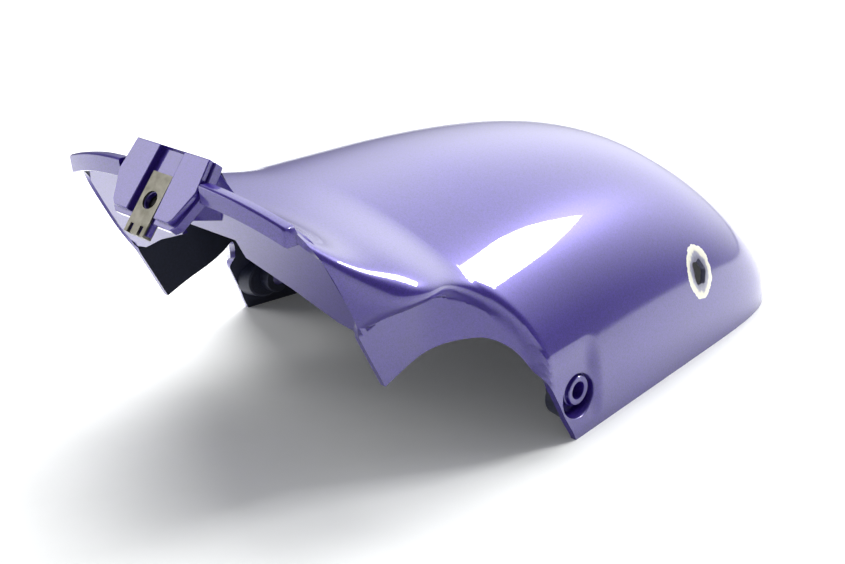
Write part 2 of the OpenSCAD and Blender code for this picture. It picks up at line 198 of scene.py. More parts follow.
def sunk(x, y, z):
    """Half width with the fork pocket pressed in: a power curve from the lip, and a crease at the fold.

    The depth over the panel goes through a smooth maximum, so that the panel's end is rounded. A shallow
    flat about the boss fades out by smooth steps and ends where the pocket starts.
    """
    lip, fold = reach(x, z, LIP), reach(x, z, FOLD)
    share = np.clip((1 - lip) / np.maximum(fold - lip, 0.001), 0, 1) ** POCKET_POWER
    over = y - panel(x)
    fade = ease((FLAT_END - x) / FLAT_FADE_END) * ease((z - FLAT_FOOT) / FLAT_FADE_FOOT)
    flat = FLAT_DEPTH * fade * ease((FLAT_TOP - z) / FLAT_FADE_TOP) * (y > FLAT_SIDE)
    return y - share * (over + np.sqrt(over ** 2 + PANEL_BLEND ** 2)) / 2 - flat * (1 - share)


def arch(q):
    """Lower edge of a rear station: a rounded rise off the lobe and a slow fall to the tip."""
    quarter = np.sqrt(np.clip(1 - (1 + q / ARCH_ROUND) ** 2, 0, None))
    turn = LOBE_HEIGHT + (ARCH_HEIGHT - LOBE_HEIGHT) * quarter
    share = (q - REAR_FOOT) / (-ARCH_ROUND - REAR_FOOT)
    fall = TIP_HEIGHT + (ARCH_HEIGHT - TIP_HEIGHT) * np.sin(math.pi / 2 * share)
    return np.where(q > -ARCH_ROUND, turn, fall)


def station_at(x, z):
    """The station on the floor line whose lean passes through x at height z, by repeated substitution."""
    q = x + LOBE_LEAN * z
    for _ in range(40):
        q = x + lean(q) * z
    return q


def side(x, z):
    """Half width of the moulding at a place x and height z."""
    return sunk(x, bare(station_at(x, z), z), z)


def section(q, low, mid, high):
    """Half outline of stations q as arrays x, y and z.

    The rows are shares from 0 to 1: low below the arch's edge, mid up to a share of the spine's height and
    high over the crown. A high row is at an angle a of a superellipse with the section's roundness n: Y is
    the half width times the cosine of a to the power 2 / n, and Z rises by the sine to that power.
    """
    q = q[:, None]
    top = CROWN_SHARE * spine(q)
    start = np.where(q <= 0, arch(np.minimum(q, 0)), LOW_SHARE * top)
    z_low = np.where(q < 0, start, start * low[None, :])
    z_mid = mix(start, top, mid[None, :])
    foot, crown, n, wide = upright(q), spine(q), roundness(q), half_width(q)
    turn = np.arcsin(np.clip((top - foot) / (crown - foot), 0, 1) ** (n / 2))
    a = mix(turn, math.pi / 2, high[None, :])
    y_high = wide * np.clip(np.cos(a), 0, None) ** (2 / n)
    y_high[:, -1] = 0
    z_high = foot + (crown - foot) * np.sin(a) ** (2 / n)
    z = np.concatenate([z_low, z_mid, z_high], 1)
    y = np.concatenate([bare(q, z_low), bare(q, z_mid), y_high], 1)
    x = q - lean(q) * z
    return x, sunk(x, y, z), z


# Meshes

def spread(a, b, count, *bumps):
    """Count values from a to b, packed closer round each bump (place, width, weight)."""
    fine = np.linspace(a, b, 4000)
    density = np.ones_like(fine)
    for place, width, weight in bumps:
        density += weight * np.exp(-((fine - place) / width) ** 2)
    total = np.cumsum(density)
    return np.interp(np.linspace(total[0], total[-1], count), total, fine)


def unit(v):
    """Vectors of length 1."""
    return v / np.maximum(np.linalg.norm(v, axis=-1, keepdims=True), 1e-9)


def new_piece(name, points, quads, corners=(), slots=(), groups=None, smooth=35):
    """Puts points in millimetres, four-cornered faces and faces of other counts into a mesh on the body."""
    mesh = bpy.data.meshes.new(name)
    p = np.asarray(points, float).reshape(-1, 3) * MM
    p[:, 0] -= CENTRE_X * MM
    faces = np.asarray(quads).tolist() + [np.asarray(face).tolist() for face in corners]
    mesh.from_pydata(p.tolist(), [], faces)
    for slot in slots:
        mesh.materials.append(slot)
    if groups is not None:
        mesh.polygons.foreach_set("material_index", np.asarray(groups, np.int32))
    mesh.polygons.foreach_set("use_smooth", np.ones(len(faces), bool))
    mesh.set_sharp_from_angle(angle=math.radians(smooth))
    mesh.validate()
    mesh.update()
    obj = bpy.data.objects.new(name, mesh)
    bpy.context.scene.collection.objects.link(obj)
    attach(obj, "root")
    return obj


def soften(obj, width, segments=2, angle=40):
    """Rounds the sharp edges of a piece by a width in millimetres."""
    bevel = obj.modifiers.new("rounded edges", "BEVEL")
    bevel.width = width * MM
    bevel.segments = segments
    bevel.limit_method = "ANGLE"
    bevel.angle_limit = math.radians(angle)
    return obj


def on_face(across, down, out):
    """Points of the tongue's face: across it, down its slope and outwards from it."""
    across, down, out = np.broadcast_arrays(*[np.asarray(v, float) for v in (across, down, out)])
    return np.stack([TONGUE_TOP[0] - down * SLOPE_COS - out * SLOPE_SIN, across,
                     TONGUE_TOP[1] - down * SLOPE_SIN + out * SLOPE_COS], -1)


def loops(rings, closed=True, caps=False):
    """Faces between rings of equal count, each joined round; the row of rings closes or gets end caps."""
    count, n = rings.shape[0], rings.shape[1]
    i = np.arange(count if closed else count - 1)[:, None]
    k = np.arange(n)[None, :]
    j, l = (i + 1) % count, (k + 1) % n
    quads = np.stack(np.broadcast_arrays(i * n + k, i * n + l, j * n + l, j * n + k), -1).reshape(-1, 4)
    corners = [list(range(n))[::-1], list(range((count - 1) * n, count * n))] if caps else []
    return quads, corners


def ray_outline(outline, centre, angles):
    """Where rays from a centre at given angles meet a closed outline: each edge solved as two lines."""
    p = np.asarray(outline, float) - centre
    e = np.roll(p, -1, 0) - p
    d = np.stack([np.cos(angles), np.sin(angles)], -1)
    det = d[:, None, 0] * e[None, :, 1] - d[:, None, 1] * e[None, :, 0]
    det = np.where(np.abs(det) < 1e-12, 1e-12, det)
    along = (p[None, :, 0] * e[None, :, 1] - p[None, :, 1] * e[None, :, 0]) / det
    share = (p[None, :, 0] * d[:, None, 1] - p[None, :, 1] * d[:, None, 0]) / det
    hit = np.where((share >= -1e-9) & (share <= 1 + 1e-9) & (along > 0), along, np.inf).min(1)
    return np.asarray(centre) + d * hit[:, None]


# Materials, whose pattern scales are written as features in a millimetre

def node(tree, kind, settings=None, inputs=None, links=None):
    """Adds a node with its settings, input values and links from other nodes' outputs."""
    made = tree.nodes.new(kind)
    for key, value in (settings or {}).items():
        setattr(made, key, value)
    for key, value in (inputs or {}).items():
        made.inputs[key].default_value = value
    for key, output in (links or {}).items():
        tree.links.new(output, made.inputs[key])
    return made


def material(name, **inputs):
    """A new material with its shader's sockets set, returned with its tree, shader and object coordinates."""
    made = bpy.data.materials.new(name)
    made.use_nodes = True
    tree = made.node_tree
    shader = tree.nodes["Principled BSDF"]
    for key, value in inputs.items():
        shader.inputs[key.replace("_", " ")].default_value = value
    place = node(tree, "ShaderNodeTexCoord").outputs["Object"]
    return made, tree, shader, place


def ramp(tree, source, stops):
    """A colour ramp on a value, with stops of place and colour."""
    made = node(tree, "ShaderNodeValToRGB", links={"Fac": source})
    band = made.color_ramp
    while len(band.elements) < len(stops):
        band.elements.new(0.5)
    for element, (place, colour) in zip(band.elements, stops):
        element.position = place
        element.color = (*colour, 1)
    return made.outputs["Color"]


def chipped(tree, place, settings):
    """Mask of the broken hole's chipped rim, and the distance from the hole's axis that shades it.

    The mask is 1 on the right side where that distance, in half widths of the rim, is under 1. Grains of
    about 4 mm make the distance uneven.
    """
    parts = node(tree, "ShaderNodeSeparateXYZ", links={"Vector": place})
    grain = node(tree, "ShaderNodeTexNoise", inputs={"Scale": 0.26 / MM, "Detail": 3.0},
                 links={"Vector": place})
    flat = node(tree, "ShaderNodeCombineXYZ", links={"X": parts.outputs["X"], "Y": parts.outputs["Z"]})
    across, up = 2 / settings.chip_wide, 2 / settings.chip_tall
    centred = node(tree, "ShaderNodeMapping", {"vector_type": "POINT"}, {
        "Location": (-(settings.hole_x - CENTRE_X * MM) * across, -settings.hole_z * up, 0),
        "Scale": (across, up, 1)}, {"Vector": flat.outputs["Vector"]})
    far = node(tree, "ShaderNodeVectorMath", {"operation": "LENGTH"}, links={0: centred.outputs["Vector"]})
    ragged = node(tree, "ShaderNodeMath", {"operation": "MULTIPLY_ADD"}, {1: 0.3, 2: -0.15},
                  {0: grain.outputs["Fac"]})
    total = node(tree, "ShaderNodeMath", {"operation": "ADD"},
                 links={0: far.outputs["Value"], 1: ragged.outputs["Value"]})
    near = node(tree, "ShaderNodeMath", {"operation": "LESS_THAN"}, {1: 1.0}, {0: total.outputs["Value"]})
    right = node(tree, "ShaderNodeMath", {"operation": "LESS_THAN"}, {1: 0.0}, {0: parts.outputs["Y"]})
    mask = node(tree, "ShaderNodeMath", {"operation": "MULTIPLY"},
                links={0: near.outputs["Value"], 1: right.outputs["Value"]})
    return mask.outputs["Value"], total.outputs["Value"]


def paint_material():
    """Metallic violet-blue car paint sprayed on a moulded panel: fine flakes under a smooth clear coat.

    The flakes give a soft sheen that the clear coat covers with sharp reflections. Real flakes are a few
    hundredths of a millimetre wide, too fine to show, so they are drawn about 0.5 mm wide. The sprayed coat
    clouds over about 55 mm. At the broken hole the paint is chipped off and the pale primer and plastic
    show, dull and uneven.
    """
    settings = bpy.context.scene.mudguard_finish
    made, tree, shader, place = material(
        "metallic_paint_clear_coat", Metallic=0.3, IOR=1.5, Coat_Weight=1.0, Coat_Roughness=0.03,
        Coat_IOR=1.6)
    flakes = node(tree, "ShaderNodeTexVoronoi", {"feature": "F1"}, {"Scale": 2.2 / MM}, {"Vector": place})
    cloud = node(tree, "ShaderNodeTexNoise", inputs={"Scale": 0.018 / MM, "Detail": 3.0},
                 links={"Vector": place})
    speck = ramp(tree, flakes.outputs["Color"],
                 [(0.0, linear(settings.deep_hex)), (1.0, linear(settings.light_hex))])
    soft = ramp(tree, cloud.outputs["Fac"], [(0.3, (0.92,) * 3), (0.7, (1.06,) * 3)])
    colour = node(tree, "ShaderNodeMix", {"data_type": "RGBA", "blend_type": "MULTIPLY"}, {"Factor": 1.0},
                  {6: speck, 7: soft})
    mask, total = chipped(tree, place, settings)
    chip = ramp(tree, total, [(0.5, linear("6E6D84")), (0.68, linear("9C9BB0")),
                              (0.76, linear("E6E3D3")), (1.0, linear("F4F2E4"))])
    bared = node(tree, "ShaderNodeMix", {"data_type": "RGBA"}, links={0: mask, 6: colour.outputs[2], 7: chip})
    tree.links.new(bared.outputs[2], shader.inputs["Base Color"])
    rough = node(tree, "ShaderNodeMapRange", inputs={"To Min": 0.34, "To Max": 0.85}, links={"Value": mask})
    tree.links.new(rough.outputs["Result"], shader.inputs["Roughness"])
    return made


def inside_material():
    """The unsprayed back of the moulding: dark dyed plastic, half matt, with a mould grain of 1 mm."""
    made, tree, shader, place = material("moulded_plastic_back", IOR=1.5)
    grain = node(tree, "ShaderNodeTexNoise", inputs={"Scale": 0.9 / MM, "Detail": 2.0},
                 links={"Vector": place})
    colour = ramp(tree, grain.outputs["Fac"], [(0.3, linear("1E2133")), (0.7, linear("2A2E46"))])
    tree.links.new(colour, shader.inputs["Base Color"])
    roughen(tree, shader, grain.outputs["Fac"], 0.4, 0.52, 0.1)
    return made


def steel_material():
    """Phosphated spring steel strip: an olive-grey rolled metal, clouded by its coating over about 4 mm."""
    settings = bpy.context.scene.mudguard_finish
    made, tree, shader, place = material("phosphated_spring_steel", Metallic=1.0)
    cloud = node(tree, "ShaderNodeTexNoise", inputs={"Scale": 0.24 / MM, "Detail": 5.0},
                 links={"Vector": place})
    colour = ramp(tree, cloud.outputs["Fac"],
                  [(0.3, linear(settings.steel_dark_hex)), (0.7, linear(settings.steel_light_hex))])
    tree.links.new(colour, shader.inputs["Base Color"])
    roughen(tree, shader, cloud.outputs["Fac"], 0.32, 0.5, 0.15)
    return made


def floor_material():
    """Seamless pale paper with 30 mm clouds: a matt white that keeps the shadow and glows very weakly."""
    made, tree, shader, place = material("studio_paper", Roughness=0.9, Emission_Strength=0.05)
    grain = node(tree, "ShaderNodeTexNoise", inputs={"Scale": 0.03 / MM, "Detail": 2.0},
                 links={"Vector": place})
    colour = ramp(tree, grain.outputs["Fac"], [(0.3, linear("F6F7F6")), (0.7, linear("FAFBFA"))])
    tree.links.new(colour, shader.inputs["Base Color"])
    tree.links.new(colour, shader.inputs["Emission Color"])
    return made


def roughen(tree, shader, source, smooth, rough, depth):
    """Lets one pattern set the roughness between two values and raise a fine bump of a given strength."""
    span = node(tree, "ShaderNodeMapRange", inputs={"To Min": smooth, "To Max": rough},
                links={"Value": source})
    tree.links.new(span.outputs["Result"], shader.inputs["Roughness"])
    bump = node(tree, "ShaderNodeBump", inputs={"Strength": depth, "Distance": 0.0001},
                links={"Height": source})
    tree.links.new(bump.outputs["Normal"], shader.inputs["Normal"])


def shared(name, maker):
    """The material of that name, made the first time."""
    return bpy.data.materials.get(name) or maker()


def paint():
    """The paint on every outer face."""
    return shared("metallic_paint_clear_coat", paint_material)


def back():
    """The plastic on every inner face."""
    return shared("moulded_plastic_back", inside_material)


# Settings

class FinishSettings(PropertyGroup):
    """Colours of the paint and steel, and the broken hole."""
    deep_hex: StringProperty(
        name="Deep paint", description="Darker flake colour as sRGB hex", default="220E6C")
    light_hex: StringProperty(
        name="Light paint", description="Lighter flake colour as sRGB hex", default="3E2298")
    steel_dark_hex: StringProperty(
        name="Dark steel", description="Darker steel colour as sRGB hex", default="5E5C52")
    steel_light_hex: StringProperty(
        name="Light steel", description="Lighter steel colour as sRGB hex", default="86837A")
    hole_x: FloatProperty(
        name="Hole place", description="Place of the broken hole from the rim's rear corner",
        default=0.1165, unit="LENGTH")
    hole_z: FloatProperty(
        name="Hole height", description="Height of the broken hole", default=0.039, unit="LENGTH")
    hole_wide: FloatProperty(
        name="Hole width", description="Width of the opening", default=0.0125, unit="LENGTH")
    hole_tall: FloatProperty(
        name="Hole tallness", description="Height of the opening", default=0.0135, unit="LENGTH")
    chip_wide: FloatProperty(
        name="Chipped width", description="Width over the chipped rim", default=0.0225, unit="LENGTH")
    chip_tall: FloatProperty(
        name="Chipped height", description="Height over the chipped rim", default=0.0245, unit="LENGTH")


class BossSettings(PropertyGroup):
    """Sizes of the two side bosses."""
    bore: FloatProperty(
        name="Bore", description="Diameter of the bore", default=0.0078, unit="LENGTH")
    ring: FloatProperty(
        name="Ring", description="Outer diameter of the ring", default=0.0155, unit="LENGTH")
    face: FloatProperty(
        name="Face", description="Outer diameter of the ring's face", default=0.0132, unit="LENGTH")


class StageSettings(PropertyGroup):
    """Light and camera."""
    top_power: FloatProperty(
        name="Top light", description="Power of the soft light above", default=20.0, unit="POWER")
    left_power: FloatProperty(
        name="Left light", description="Power of the soft light behind on the left",
        default=8.0, unit="POWER")
    window_power: FloatProperty(
        name="Window light", description="Power of the small bright light in front on the right",
        default=13.0, unit="POWER")
    air: FloatProperty(
        name="Surroundings", description="Strength of the pale surroundings", default=0.25)
    glow: FloatProperty(
        name="Glow", description="Strength of the bright wall in front of the object", default=2.5)
    lens: FloatProperty(
        name="Lens", description="Focal length", default=63.9, unit="CAMERA")


# Pieces

def broken_outline(angle):
    """Radius of the ragged opening at an angle, in half widths: uneven teeth joined by straight mixes."""
    teeth = [1, 0.82, 0.93, 0.7, 1.05, 0.78, 0.9, 1, 0.74, 0.95, 0.84]
    t = np.mod(angle, 2 * math.pi) / (2 * math.pi) * len(teeth)
    low = np.floor(t).astype(int) % len(teeth)
    return mix(np.take(teeth, low), np.take(teeth, (low + 1) % len(teeth)), t - np.floor(t))


def shell_grid(settings):
    """Right half of the outer skin on a grid of stations by rows.

    The front stations lie at the sine of an angle, closer by the hole and the boss, and the rear ones get
    closer towards the corner.
    """
    hole_angle = math.asin(settings.hole_x / MM / RIM_LENGTH)
    angle = spread(0, math.pi / 2, FRONT_STATIONS, (hole_angle, 0.05, 1.6), (0.07, 0.09, 0.8))
    front = RIM_LENGTH * np.sin(angle)
    rear = REAR_FOOT * (1 - np.linspace(0, 1, REAR_STATIONS + 1)[:-1]) ** 1.25
    low, mid = np.linspace(0, 1, LOW_ROWS + 1)[:-1], np.linspace(0, 1, MID_ROWS + 1)[:-1]
    high = np.linspace(0, 1, HIGH_ROWS)
    x, y, z = section(np.r_[rear, front][:-1], low, mid, high)
    return x, y, z


def fit_to(x, y, z, centre, radius, allowed):
    """Moves grid points just inside an outline onto it, and returns the points and the inside mask."""
    dx, dz = x - centre[0], z - centre[1]
    angle, far = np.arctan2(dz, dx), np.hypot(dx, dz)
    limit = radius(angle)
    inside = (far < limit) & allowed
    grown = ~inside
    near = np.zeros_like(inside)
    for a in (-1, 0, 1):
        for b in (-1, 0, 1):
            near |= np.roll(np.roll(grown, a, 0), b, 1)
    edge = inside & near
    x = np.where(edge, centre[0] + limit * np.cos(angle), x)
    z = np.where(edge, centre[1] + limit * np.sin(angle), z)
    y = np.where(edge, side(x, z), y)
    return x, y, z, inside


def recess_radius(angle, more=0.0):
    """Radius of the oval recess about the boss at an angle, with an amount added."""
    return 1 / np.hypot(2 * np.cos(angle) / RECESS_WIDE, 2 * np.sin(angle) / RECESS_TALL) + more


def shell_skin(settings):
    """Whole outer skin, with rows from the right rim over the spine to the left rim.

    Also returns which points the recesses and the broken hole cut away.
    """
    x, y, z = shell_grid(settings)
    ready = np.ones_like(x, bool)
    ready[:REAR_STATIONS, :LOW_ROWS] = False
    hole = (settings.hole_x / MM, settings.hole_z / MM)
    wide, tall = settings.hole_wide / MM / 2, settings.hole_tall / MM / 2

    def broken(angle):
        return broken_outline(angle) / np.hypot(np.cos(angle) / wide, np.sin(angle) / tall)

    def recess(angle):
        return recess_radius(angle, RECESS_EDGE)

    x, y, z, cut = fit_to(x, y, z, RECESS, recess, ready)
    x_right, y_right, z_right, torn = fit_to(x, y, z, hole, broken, ready)
    right, left = np.stack([x_right, -y_right, z_right], -1), np.stack([x, y, z], -1)
    skin = np.concatenate([right, left[:, -2::-1]], 1)
    gone = np.concatenate([cut | torn, cut[:, -2::-1]], 1)
    return skin, gone


def skin_normals(skin):
    """Unit normals: the cross product of the differences of each point's neighbours across and along.

    The low rows have no rear stations, so a neighbour that lies there is left out. Normals stay level on
    the floor and upright on the spine.
    """
    across, rear, low = skin.shape[1], REAR_STATIONS, LOW_ROWS
    row = np.arange(across)
    lows = (row < low) | (row >= across - low)
    ahead = np.concatenate([skin[1:], skin[-1:]], 0)
    behind = np.concatenate([skin[:1], skin[:-1]], 0)
    behind[rear, lows] = skin[rear, lows]
    up = np.concatenate([skin[:, 1:], skin[:, -1:]], 1)
    down = np.concatenate([skin[:, :1], skin[:, :-1]], 1)
    up[:rear, across - low - 1] = skin[:rear, across - low - 1]
    down[:rear, low] = skin[:rear, low]
    normal = np.cross(up - down, ahead - behind)
    normal[rear:, [0, -1], 2] = 0
    normal[:, across // 2, 1] = 0
    return unit(normal)


def shell_faces(gone):
    """Faces of both skins, of the bands that join them at open edges and of the fans at the nose.

    The inner skin's points follow the outer one's, and the nose's two points come last. A cell is left out
    where its row has no rear stations and where all its corners are cut away.
    """
    stations, across = gone.shape
    size = stations * across
    cell = np.arange(across - 1)
    present = np.ones((stations - 1, across - 1), bool)
    present[:REAR_STATIONS, np.minimum(cell, across - 2 - cell) < LOW_ROWS] = False
    present &= ~(gone[:-1, :-1] & gone[1:, :-1] & gone[:-1, 1:] & gone[1:, 1:])
    at = np.arange(size).reshape(stations, across)
    a, b, c, d = at[:-1, :-1], at[:-1, 1:], at[1:, 1:], at[1:, :-1]
    outer = np.stack([a, b, c, d], -1)[present]
    inner = np.stack([a, d, c, b], -1)[present] + size
    around = np.pad(present, 1)
    # The last station meets the nose's fans, so it counts as present
    around[-1] = True
    bands = []
    for beside, start, end in ((around[:-2, 1:-1], b, a), (around[2:, 1:-1], d, c),
                               (around[1:-1, :-2], a, d), (around[1:-1, 2:], c, b)):
        edge = present & ~beside
        bands.append(np.stack([start[edge], end[edge], end[edge] + size, start[edge] + size], -1))
    bands = np.concatenate(bands)
    last, tip, tip_in = at[-1], 2 * size, 2 * size + 1
    fan_out = np.stack([last[:-1], last[1:], np.full(across - 1, tip)], -1)
    fan_in = np.stack([last[1:] + size, last[:-1] + size, np.full(across - 1, tip_in)], -1)
    ends = np.array([[last[0], tip, tip_in, last[0] + size], [tip, last[-1], last[-1] + size, tip_in]])
    groups = np.repeat([0, 1, 0, 1], [len(outer), len(inner), len(bands) + 2 + len(fan_out), len(fan_in)])
    return np.concatenate([outer, inner, bands, ends]), np.concatenate([fan_out, fan_in]), groups


def build_shell():
    """Both skins of the moulding as one closed mesh, the inner one a wall's thickness along the normals."""
    skin, gone = shell_skin(bpy.context.scene.mudguard_finish)
    normal = skin_normals(skin)
    outward = np.sign((normal * (skin - np.array([INSIDE_X, 0, 0]))).sum(-1).mean())
    inner = skin - WALL * outward * normal
    inner[..., 2] = np.maximum(inner[..., 2], 0)
    tips = np.array([[RIM_LENGTH, 0, 0], [RIM_LENGTH - WALL, 0, 0]])
    points = np.concatenate([skin.reshape(-1, 3), inner.reshape(-1, 3), tips])
    quads, fans, groups = shell_faces(gone)
    if outward > 0:
        quads, fans = quads[:, ::-1], fans[:, ::-1]
    used, where = np.unique(np.r_[quads.ravel(), fans.ravel()], return_inverse=True)
    where = where.ravel()
    quads, fans = where[:quads.size].reshape(-1, 4), where[quads.size:].reshape(-1, 3)
    return new_piece("shell", points[used], quads, fans, (paint(), back()), groups, smooth=30)


def rear_outline(count, inset, lowest):
    """Half outline of the rear section in Y and Z from a height up to the spine, drawn in by an inset."""
    rows = np.linspace(0, 1, count)
    _, y, z = section(np.array([REAR_FOOT]), np.zeros(1), rows[:-1], rows)
    outline = np.stack([y[0, 1:], z[0, 1:]], -1)
    along = unit(np.gradient(outline, axis=0))
    outline = outline + inset * np.stack([-along[:, 1], along[:, 0]], -1)
    outline = outline[outline[:, 1] >= lowest]
    outline[-1, 0] = 0
    return outline


def build_rear_wall():
    """The plate that closes the rear end: columns from its stepped lower edge up to the section's outline.

    Its top stays a little below the ledge's, and both its faces lean as the rear edge does.
    """
    outline = rear_outline(160, WALL / 2, 60)
    half = outline[:, 0].max()
    edge_y = np.array([0, WALL_MID_HALF - 0.01, WALL_MID_HALF + 0.01, *WALL_BEND_Y, PANEL_HALF_GAP, half + 1])
    edge_z = np.array([WALL_EDGE_MID, WALL_EDGE_MID, WALL_EDGE_STEP, *WALL_BEND_Z,
                       WALL_EDGE_SIDE, WALL_EDGE_SIDE])
    y = np.unique(np.r_[np.linspace(0, half, 60), edge_y[edge_y < half]])
    ledge = LEDGE_TOP - LEDGE_FALL * y ** 3 - WALL_BELOW_LEDGE
    top = np.minimum(np.interp(y, *upper_envelope(outline)), ledge)
    low = np.interp(y, edge_y, edge_z)
    y, top, low = np.r_[-y[:0:-1], y], np.r_[top[:0:-1], top], np.r_[low[:0:-1], low]
    z = mix(low[:, None], top[:, None], np.linspace(0, 1, 6)[None, :])
    z = np.maximum(z, low[:, None])
    across = np.broadcast_to(y[:, None], z.shape)
    behind, front = (np.stack([REAR_FOOT + shift - REAR_LEAN * z, across, z], -1)
                     for shift in (WALL_SET_IN, WALL_SET_IN + WALL))
    rings = np.concatenate([behind, front[:, ::-1]], 1)
    quads, corners = loops(rings, closed=False, caps=True)
    return turned_out(new_piece("rear_wall", rings, quads, corners, (paint(),), smooth=35))


def upper_envelope(outline):
    """Highest Z for each Y of an outline, as sorted Y and Z: the running maximum from the side inwards."""
    order = outline[np.argsort(outline[:, 0])]
    tops = np.maximum.accumulate(order[::-1, 1])[::-1]
    ys = np.linspace(0, order[-1, 0], 400)
    return ys, np.interp(ys, order[:, 0], tops)


def turned_out(obj):
    """The piece with its doubles merged and its normals turned outwards."""
    bm = bmesh.new()
    bm.from_mesh(obj.data)
    bmesh.ops.remove_doubles(bm, verts=bm.verts, dist=1e-7)
    bmesh.ops.recalc_face_normals(bm, faces=bm.faces)
    bm.to_mesh(obj.data)
    bm.free()
    return obj


def joined(parts):
    """Points, four-cornered faces and caps of several parts, each given as rings, closed and caps."""
    points, quads, corners, base = [], [], [], 0
    for rings, closed, caps in parts:
        faces, ends = loops(rings, closed, caps)
        points.append(rings.reshape(-1, 3))
        quads.append(faces + base)
        corners += [[corner + base for corner in end] for end in ends]
        base += len(points[-1])
    return np.concatenate(points), np.concatenate(quads), corners


def build_ledge():
    """The thick rim behind the wall's top: a profile carried along Y on each side of the tongue.

    Its height falls as the cube of Y, it leans with the rear edge and shrinks a little at its outer end.
    """
    profile = np.array([[1.2, 0.3], [-2.6, 0.7], [-3.6, 0.5], [-4.3, 0.0], [1.3 - LEDGE_DEPTH, -0.8],
                        [-1.4 - LEDGE_DEPTH, 0.5 - LEDGE_HEIGHT], [-0.9 - LEDGE_DEPTH, -LEDGE_HEIGHT],
                        [1.2, -LEDGE_HEIGHT]])
    middle = np.array([-2.4, -LEDGE_HEIGHT / 2])
    along = np.linspace(LEDGE_START, LEDGE_HALF_WIDTH - 1, 50)
    y = np.r_[along, LEDGE_HALF_WIDTH - 0.3, LEDGE_HALF_WIDTH][:, None]
    size = np.r_[np.ones(50), 0.95, 0.85][:, None, None]
    part = middle + (profile - middle) * size
    z = LEDGE_TOP - LEDGE_FALL * y ** 3 + part[..., 1]
    x = REAR_FOOT + part[..., 0] - REAR_LEAN * z
    bars = [(np.stack([x, np.broadcast_to(sign * y, x.shape), z], -1), False, True) for sign in (-1, 1)]
    return turned_out(new_piece("ledge", *joined(bars), (paint(),), smooth=40))


def tongue_base():
    """The tray-shaped base: rings from the screw hole over the face to the rim, and back underneath."""
    base = np.array([[-PAD_HALF_WIDTH - 1, 0], [PAD_HALF_WIDTH + 1, 0], [PAD_HALF_WIDTH + 2.8, PAD_BEND],
                     [PAD_HALF_WIDTH - 2.5, TONGUE_LENGTH], [PAD_HALF_WIDTH - 5, TONGUE_LENGTH + 2],
                     [5 - PAD_HALF_WIDTH, TONGUE_LENGTH + 2], [2.5 - PAD_HALF_WIDTH, TONGUE_LENGTH],
                     [-PAD_HALF_WIDTH - 2.8, PAD_BEND]], float)
    centre = np.array([0, TONGUE_HOLE_DOWN])
    corners = np.arctan2(base[:, 1] - centre[1], base[:, 0] - centre[0])
    angles = np.unique(np.r_[np.linspace(-math.pi, math.pi, 97)[:-1], corners])
    rim = ray_outline(base, centre, angles)
    core = rim * [0.88, 0.88] + [0, WALL]
    core[:, 1] = np.minimum(core[:, 1], TONGUE_LENGTH + 2 - WALL)
    hole = centre + TONGUE_HOLE_D / 2 * np.stack([np.cos(angles), np.sin(angles)], -1)
    top, under, bottom = -CHANNEL_DEPTH, -CHANNEL_DEPTH - WALL, -BASE_DEPTH
    levels = ((hole, top), (mix(hole, rim, 0.5), top), (rim, top), (rim, bottom), (core, bottom),
              (core, under), (hole, under))
    return np.stack([on_face(*outline.T, out) for outline, out in levels])


def face_plate(outline, *levels):
    """An outline on the tongue's face, carried outwards through the levels."""
    return np.stack([on_face(*outline.T, out) for out in levels])


def cross_plate(outline, *places):
    """An outline in X and Z, carried across through places in Y, each one value or one for each corner."""
    wide = [np.broadcast_to(y, len(outline)) for y in places]
    return np.stack([np.stack([outline[:, 0], y, outline[:, 1]], -1) for y in wide])


def tongue_pad(sign):
    """One raised pad beside the channel."""
    pad = np.array([[CHANNEL_HALF, 0], [PAD_HALF_WIDTH, 0], [PAD_HALF_WIDTH + 1.5, PAD_BEND],
                    [PAD_HALF_WIDTH - 3.5, TONGUE_LENGTH - 2], [PAD_HALF_WIDTH - 5.5, TONGUE_LENGTH],
                    [CHANNEL_HALF + 1, TONGUE_LENGTH]]) * [sign, 1]
    return face_plate(pad, -CHANNEL_DEPTH - 0.5, 0)


def build_tongue():
    """The tongue: a tray-shaped base with a screw hole, two raised pads, a tab, two cheeks and a roof."""
    tab = np.array([[-TAB_HALF, TONGUE_LENGTH - 1], [TAB_HALF, TONGUE_LENGTH - 1],
                    [TAB_HALF, TAB_END], [-TAB_HALF, TAB_END]])

    def side_point(down, out):
        return on_face(0, down, out)[[0, 2]]

    roof_end = np.array([TONGUE_TOP[0] + ROOF_RUN, TONGUE_TOP[1] - ROOF_DROP])
    foot = np.array([REAR_FOOT + CHEEK_SET_IN - REAR_LEAN * CHEEK_FOOT_Z, CHEEK_FOOT_Z])
    cheek = np.array([side_point(0, -0.5), roof_end + [0, 0.5], foot,
                      side_point(TONGUE_LENGTH - 4, 1 - BASE_DEPTH), side_point(PAD_BEND, 1 - BASE_DEPTH)])
    cheek_y = PAD_HALF_WIDTH - 5 + WALL / 2 + np.array([1, 1, 0, 0, 1]) * (5 - WALL / 2)
    roof = np.array([side_point(0, -0.2), roof_end + [0, 0.8], roof_end - [0, 0.8],
                     side_point(0.8, -BASE_DEPTH), side_point(0, -BASE_DEPTH)])
    roof_y = PAD_HALF_WIDTH - WALL / 2
    parts = [(tongue_base(), True, False)]
    parts += [(tongue_pad(sign), False, True) for sign in (-1, 1)]
    parts.append((face_plate(tab, -CHANNEL_DEPTH - WALL, -CHANNEL_DEPTH), False, True))
    parts += [(cross_plate(cheek, sign * cheek_y, sign * (cheek_y - WALL)), False, True) for sign in (-1, 1)]
    parts.append((cross_plate(roof, -roof_y, roof_y), False, True))
    return soften(turned_out(new_piece("tongue", *joined(parts), (paint(),), smooth=35)), 0.8)


